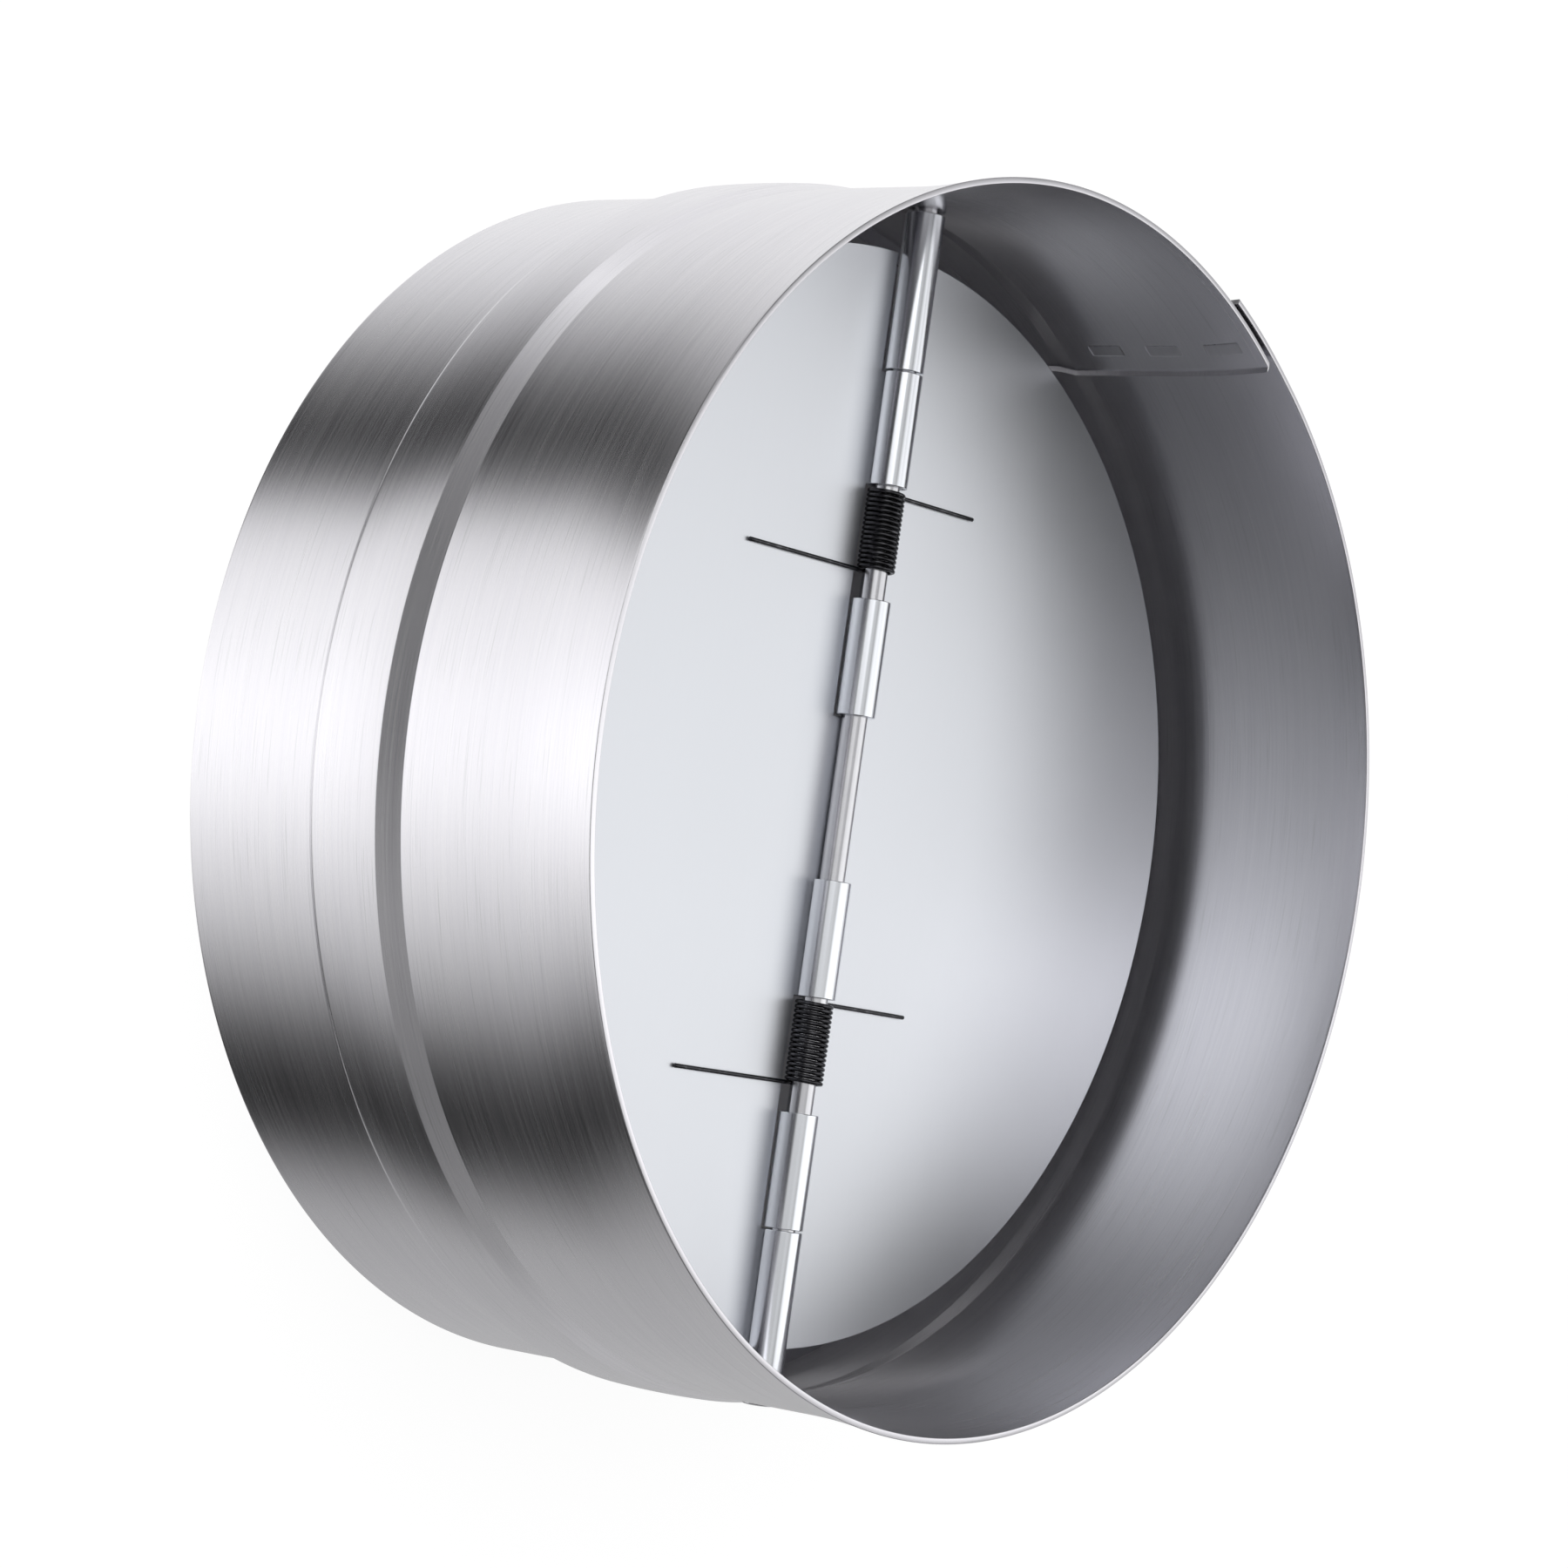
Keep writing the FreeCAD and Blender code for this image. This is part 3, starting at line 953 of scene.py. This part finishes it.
@dataclass
class Blades:
    """Two half-round blades, each of one sheet with three knuckles rolled on it.

    Places along the rod are measured from the duct's middle. The knuckles of one blade
    lie between knuckle_end and outer, inner and centre, and outer and middle below.
    """

    thick: float = 1.1 * MM
    radius: float = 90.4 * MM
    axis_height: float = HINGE_HEIGHT
    roll_radius: float = 2.70 * MM
    roll_angle: float = 295.0
    roll_steps: int = 42
    roll_lead: float = 1.2 * MM
    butt: float = 0.15 * MM
    notch: float = 2.89 * MM
    knuckle_end: float = 97.2 * MM
    outer: float = 70.7 * MM
    middle: float = 51.7 * MM
    inner: float = 32.8 * MM
    centre: float = 13.6 * MM
    gap: float = 0.3 * MM
    rim_steps: int = 180
    edge_round: float = 0.14 * MM
    edge_segments: int = 2
    edge_angle: float = 50.0
    face_weight: int = 100
    finish: RolledAluminium = field(default_factory=RolledAluminium)

    def rim(self, x_from: float, x_to: float) -> list[Point]:
        """Follow the round edge from its upper end down to its lower end.

        Args:
            x_from: Distance from the rod's line at the upper end.
            x_to: Distance from the rod's line at the lower end.

        Returns:
            Points along the edge.
        """
        top = math.acos(x_from / self.radius)
        low = -math.acos(x_to / self.radius)
        turns = [top + (low - top) * k / self.rim_steps for k in range(self.rim_steps + 1)]
        return [(self.radius * math.cos(a), self.radius * math.sin(a)) for a in turns]

    def outline(self) -> list[Point]:
        """Draw the flat of the blade, round from its upper knuckle.

        Returns:
            Corner points of the flat, clockwise. Those of a knuckle's root have x = 0.
        """
        half = self.gap / 2
        return [
            (0.0, self.knuckle_end),
            (self.roll_lead, self.knuckle_end),
            *self.rim(self.roll_lead, self.notch),
            (self.notch, half - self.outer),
            (0.0, half - self.outer),
            (0.0, -self.middle),
            (self.notch, -self.middle),
            (self.notch, self.gap - self.centre),
            (self.butt, self.gap - self.centre),
            (self.butt, self.centre),
            (0.0, self.centre),
            (0.0, self.inner),
            (self.notch, self.inner),
            (self.notch, self.outer + half),
            (0.0, self.outer + half),
        ]

    def build(self, name: str, turn: float) -> Object:
        """Cut and roll one blade.

        Args:
            name: The piece's name.
            turn: How far it is turned about the duct's axis, in degrees.

        Returns:
            The blade's mesh.
        """
        outline = self.outline()
        count, steps = len(outline), self.roll_steps
        low = self.axis_height - self.roll_radius
        verts = [Vector((x, y, low)) for x, y in outline]
        faces: list[Face] = [tuple(range(count))]
        for k in range(count):
            row = (k, (k + 1) % count)
            ends = [outline[n] for n in row]
            if any(x for x, _ in ends):
                continue
            for step in range(1, steps + 1):
                a = math.radians(-90 - self.roll_angle * step / steps)
                x, z = self.roll_radius * math.cos(a), self.roll_radius * math.sin(a)
                base = len(verts)
                verts += [Vector((x, y, self.axis_height + z)) for _, y in ends]
                faces.append((row[1], row[0], base, base + 1))
                row = (base, base + 1)
        spin = Matrix.Rotation(math.radians(turn), 3, "Z")
        made = piece(name, [spin @ v for v in verts], faces)
        turned_out(made)
        sheet = made.modifiers.new("sheet", "SOLIDIFY")
        sheet.thickness = self.thick
        sheet.offset = 0.0
        sheet.use_even_offset = True
        edge = made.modifiers.new("edge", "BEVEL")
        edge.width = self.edge_round
        edge.segments = self.edge_segments
        edge.limit_method = "ANGLE"
        edge.angle_limit = math.radians(self.edge_angle)
        weight = made.modifiers.new("weight", "WEIGHTED_NORMAL")
        weight.keep_sharp = True
        weight.weight = self.face_weight
        settle(made)
        return made

    def assemble(self) -> list[Object]:
        """Build both blades, dress them and hang them on their bodies.

        Returns:
            The right blade and the left one.
        """
        material = self.finish.material()
        blades = []
        for side, turn in (("right", 0.0), ("left", 180.0)):
            made = self.build(f"{side}_blade_sheet", turn)
            dress(made, material)
            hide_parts(f"blade_{side}")
            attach(made, f"{side}_blade")
            blades.append(made)
        return blades


# The springs


@dataclass
class Spring:
    """A close-wound torsion spring with a leg to each blade.

    Its coil lies between low and high along the rod. Its long leg lies on the left
    blade, at the low end, and its short leg on the right blade.
    """

    name: str
    low: float
    high: float
    wire: float = 0.35 * MM
    coil: float = 2.85 * MM
    axis_height: float = HINGE_HEIGHT
    lean: float = 35.0
    turns: int = 17
    leg_height: float = 1.77 * MM
    leg_bend: float = 2.44 * MM
    leg_round: float = 0.6 * MM
    leg_steps: int = 8
    round_steps: int = 6
    short_leg: float = 25.5 * MM
    long_leg: float = 30.0 * MM
    leg_inset: float = 0.395 * MM
    stop_inset: float = 1.6
    steps: int = 32
    sides: int = 14
    corner: float = 60.0

    def helix(self, share_from: float, share_to: float) -> list[Vector]:
        """Follow the coil between two shares of its length.

        Args:
            share_from: Where to start, from 0 at the long leg.
            share_to: Where to end, up to 1 at the short leg.

        Returns:
            Points along the wire.
        """
        whole = 360.0 * self.turns + 2 * self.lean
        bottom, top = self.low + self.leg_inset, self.high - self.leg_inset
        count = int(self.steps * whole / 360 * (share_to - share_from))
        points = []
        for k in range(count + 1):
            share = share_from + (share_to - share_from) * k / count
            a = math.radians(-90 - self.lean + whole * share)
            x, z = self.coil * math.cos(a), self.coil * math.sin(a)
            points.append(Vector((x, bottom + (top - bottom) * share, self.axis_height + z)))
        return points

    def leg(self, side: int, y: float, reach: float) -> list[Vector]:
        """Follow one leg from its tip to where it meets the coil.

        Args:
            side: -1 for the left blade, 1 for the right.
            y: Where the leg lies along the rod.
            reach: How far its tip is from the rod.

        Returns:
            Points from the tip inward.
        """
        lean = math.radians(self.lean)
        bend = Vector((side * self.leg_bend, y, self.axis_height - self.leg_height))
        tip = Vector((side * reach, bend.y, bend.z))
        root_height = self.axis_height - self.coil * math.cos(lean)
        root = Vector((side * self.coil * math.sin(lean), y, root_height))
        start = bend + Vector((side, 0.0, 0.0)) * self.leg_round
        end = bend - Vector((side * math.cos(lean), 0.0, math.sin(lean))) * self.leg_round
        straight = [tip.lerp(start, k / self.leg_steps) for k in range(self.leg_steps)]
        shares = [k / self.round_steps for k in range(self.round_steps + 1)]
        round_off = [start * (1 - t) ** 2 + bend * 2 * t * (1 - t) + end * t**2 for t in shares]
        return straight + round_off + [end.lerp(root, 0.5)]

    def assemble(self, material: Material) -> list[Object]:
        """Build both halves of the spring.

        Args:
            material: The wire's material.

        Returns:
            The half with the long leg and the half with the short one.
        """
        halves = (
            ("long", -1, self.low, self.leg_inset, self.long_leg, (0.0, 0.5), "left_blade"),
            ("short", 1, self.high, -self.leg_inset, self.short_leg, (0.5, 1.0), "right_blade"),
        )
        pieces = []
        for half, side, end, inset, reach, share, body in halves:
            leg = self.leg(side, end + inset, reach)
            coil = self.helix(*share)
            path = leg + coil if side < 0 else coil + leg[::-1]
            made = piece(f"{self.name}_{half}_half", *tube(path, self.wire, self.sides))
            turned_out(made)
            settle(made, self.corner)
            dress(made, material)
            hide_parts(self.name)
            stop = Vector((0.0, end + self.stop_inset * inset, self.axis_height))
            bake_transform(made)
            pieces.append(made)
        return pieces


@dataclass
class Springs:
    """The upper and the lower spring, of the same wire."""

    upper: Point = (37.18 * MM, 51.40 * MM)
    lower: Point = (-47.32 * MM, -33.10 * MM)
    finish: BlackWire = field(default_factory=BlackWire)

    def assemble(self) -> list[Object]:
        """Build both springs.

        Returns:
            The four halves.
        """
        material = self.finish.material()
        upper = Spring("spring_upper", *self.upper).assemble(material)
        return upper + Spring("spring_lower", *self.lower).assemble(material)


# The studio


@dataclass(frozen=True)
class Band:
    """A ring of soft cards round the part, which the metal alone sees.

    It reaches over a turn about the duct's axis and a rise over the floor, in degrees.
    Its levels of light lie evenly over its turn and fade into each other. They were set
    until the metal looked right.
    """

    name: str
    turn: Point
    rise: Point
    levels: tuple[float, ...]
    distance: float = 2.6
    peak: float = 2.0
    card_turn: float = 5.0
    card_rise: float = 6.0


BANDS = (
    Band(
        "low_cards",
        (20.0, 350.0),
        (-89.0, -29.0),
        (
            *(0.98, 0.96, 0.96, 0.95, 0.92, 0.84, 0.66, 0.40, 0.12, 0.00),
            *(0.10, 0.98, 1.16, 1.26, 1.38, 1.38, 1.20, 0.96, 0.72, 0.42),
            *(0.10, 0.00, 0.00, 0.28, 0.46, 0.46, 0.49, 0.50, 0.52, 0.50, 0.50),
        ),
    ),
    Band(
        "side_cards",
        (90.0, 330.0),
        (-29.0, 4.0),
        (1.25, 0.35, 0.12, 0.12, 0.30, 0.22, 0.35, 0.60, 0.60),
    ),
    Band(
        "eye_cards",
        (0.0, 360.0),
        (4.0, 32.0),
        (0.90, 0.30, 0.08, 0.50, 0.40, 0.20, 0.10, 0.05, 0.15, 0.90),
    ),
    Band(
        "high_cards",
        (0.0, 360.0),
        (32.0, 64.0),
        (1.50, 0.62, 0.02, 0.06, 1.00, 1.80, 0.66, 0.34, 0.08, 0.00, 0.00, 0.60, 1.50),
    ),
    Band("top_cards", (0.0, 360.0), (64.0, 89.0), (1.40, 0.40, 0.75, 0.25, 1.40)),
)


@dataclass
class Studio:
    """The pale floor, the white room, the lamp and the rings of cards."""

    floor_half: float = 4.0
    floor_colour: Colour = (0.90, 0.90, 0.90)
    floor_shade: Colour = (0.88, 0.88, 0.88)
    floor_run: float = 40.0
    floor_glow: float = 0.80
    glow_level: float = 1.12
    patch_radius: float = 96.0 * MM
    patch_height: float = 0.1 * MM
    patch_sides: int = 64
    room_light: float = 0.55
    lamp_power: float = 13.0
    lamp_size: float = 2.0
    lamp_place: Triple = (-0.7, 0.7, 1.6)
    lamp_aim: Triple = (0.0, 0.0, 0.04)

    def paper(self, graph: Graph) -> bpy.types.Node:
        """Make the floor's pale paper.

        Args:
            graph: The material's graph.

        Returns:
            The paper's shader.
        """
        grain = graph.noise(graph.place(), self.floor_run)
        pale = graph.blend(grain, self.floor_colour, self.floor_shade)
        return graph.node("ShaderNodeBsdfDiffuse", {}, {"Color": pale})

    def floor(self) -> None:
        """Lay the pale floor, which keeps the part's shadow and glows to the camera."""
        h = self.floor_half
        verts = [Vector(p) for p in ((-h, -h, 0), (h, -h, 0), (h, h, 0), (-h, h, 0))]
        made = piece("studio_floor", verts, [(0, 1, 2, 3)])
        material, graph = new_material("studio_floor")
        paper = self.paper(graph)
        level = {"Color": WHITE, "Strength": self.glow_level}
        glow = graph.node("ShaderNodeEmission", {}, level)
        path = graph.node("ShaderNodeLightPath", {}, {}).outputs
        share = Value(graph, path["Is Camera Ray"]) * self.floor_glow
        mix = {0: share, 1: paper.outputs[0], 2: glow.outputs[0]}
        graph.end_in(graph.node("ShaderNodeMixShader", {}, mix))
        made.data.materials.append(material)
        made.visible_glossy = False

    def patch(self) -> None:
        """Lay a patch of floor in the inlet that is shaded and that the metal sees."""
        wide, up, turns = self.patch_radius, self.patch_height, round_turns(self.patch_sides)
        ring = [Vector((wide * math.cos(a), wide * math.sin(a), up)) for a in turns]
        made = piece("floor_in_inlet", ring, [tuple(range(len(ring)))])
        material, graph = new_material("shaded_floor")
        graph.end_in(self.paper(graph))
        made.data.materials.append(material)

    def room(self) -> None:
        """Make the white room that the camera and the metal see."""
        world = bpy.data.worlds.new("white_room")
        bpy.context.scene.world = world
        graph = Graph(world)
        path = graph.node("ShaderNodeLightPath", {}, {}).outputs
        seen = Value(graph, path["Is Camera Ray"]) + Value(graph, path["Is Glossy Ray"])
        seen = graph.math("MINIMUM", seen + Value(graph, path["Is Transmission Ray"]), 1.0)
        strength = self.room_light + seen * (1.0 - self.room_light)
        back = graph.node("ShaderNodeBackground", {}, {"Color": WHITE, "Strength": strength})
        graph.node("ShaderNodeOutputWorld", {}, {"Surface": back.outputs[0]})

    def band(self, band: Band) -> None:
        """Stand one ring of cards round the part.

        Args:
            band: Its place, size and levels.
        """
        (start, end), (low, high) = band.turn, band.rise
        across = int((end - start) / band.card_turn)
        up = max(2, int((high - low) / band.card_rise))
        verts = []
        for i in range(up + 1):
            rise = math.radians(low + (high - low) * i / up)
            flat, height = band.distance * math.cos(rise), band.distance * math.sin(rise)
            for k in range(across + 1):
                turn = math.radians(start + (end - start) * k / across)
                verts.append(Vector((flat * math.cos(turn), flat * math.sin(turn), height)))
        wide = across + 1
        faces = [
            (n, n + 1, n + wide + 1, n + wide)
            for i in range(up)
            for n in range(i * wide, i * wide + across)
        ]
        made = piece(band.name, verts, faces)
        material, graph = new_material(band.name)
        x, y, _ = graph.parts(graph.place())
        turn = graph.math("DEGREES", graph.math("ARCTAN2", y, x))
        turn = graph.math("WRAP", turn, start + 360.0, start)
        last = len(band.levels) - 1
        stops = [(k / last, (level / band.peak,) * 3) for k, level in enumerate(band.levels)]
        share = (turn - start) / (end - start)
        ramp = graph.node("ShaderNodeValToRGB", {"stops": stops}, {0: share})
        level = {"Color": ramp.outputs[0], "Strength": band.peak}
        graph.end_in(graph.node("ShaderNodeEmission", {}, level))
        # Rays find cards this wide unaided, and the render takes a third less time.
        material.cycles.emission_sampling = "NONE"
        made.data.materials.append(material)
        made.visible_camera = False
        made.visible_diffuse = False
        made.visible_shadow = False
        made.visible_transmission = False

    def lamp(self) -> None:
        """Hang the soft lamp above the part's left."""
        data = bpy.data.lights.new("soft_lamp", "AREA")
        data.shape = "SQUARE"
        data.size = self.lamp_size
        data.energy = self.lamp_power
        made = bpy.data.objects.new("soft_lamp", data)
        made.location = self.lamp_place
        made.visible_glossy = False
        aim = Vector(self.lamp_aim) - Vector(self.lamp_place)
        made.rotation_euler = aim.to_track_quat("-Z", "Y").to_euler()
        bpy.context.scene.collection.objects.link(made)

    def build(self) -> None:
        """Set the whole stage up."""
        self.floor()
        self.patch()
        self.room()
        for band in BANDS:
            self.band(band)
        self.lamp()
        LOG.info("studio: floor, room, lamp and %d rings of cards", len(BANDS))


@dataclass
class Camera:
    """The camera at the photograph's place, with its right and up as directions."""

    place: Triple = (-0.59216, -0.05115, 0.53878)
    right: Triple = (0.63299, 0.14008, 0.76138)
    up: Triple = (-0.14202, 0.98781, -0.06368)
    lens: float = 108.31
    sensor: float = 36.0
    clip: Point = (0.02, 20.0)

    def build(self) -> None:
        """Make the camera and hand it to the scene."""
        data = bpy.data.cameras.new("photo_camera")
        data.lens = self.lens
        data.sensor_width = self.sensor
        data.sensor_fit = "HORIZONTAL"
        data.clip_start, data.clip_end = self.clip
        made = bpy.data.objects.new("photo_camera", data)
        right, up = Vector(self.right).normalized(), Vector(self.up).normalized()
        back = right.cross(up)
        turn = Matrix((right, up, back)).transposed().to_4x4()
        made.matrix_world = Matrix.Translation(Vector(self.place)) @ turn
        bpy.context.scene.collection.objects.link(made)
        bpy.context.scene.camera = made


def main() -> None:
    """Build the camera, the part and the studio, in order."""
    logging.basicConfig(level=logging.INFO, format="%(name)s: %(message)s")
    bpy.context.scene.view_settings.view_transform = "Standard"
    Camera().build()
    for assembly in (Sleeve(), HingeRod(), Blades(), Springs()):
        for made in assembly.assemble():
            LOG.info("%s: %d faces", made.name, len(made.data.polygons))
    Studio().build()


if __name__ == "__main__":
    main()
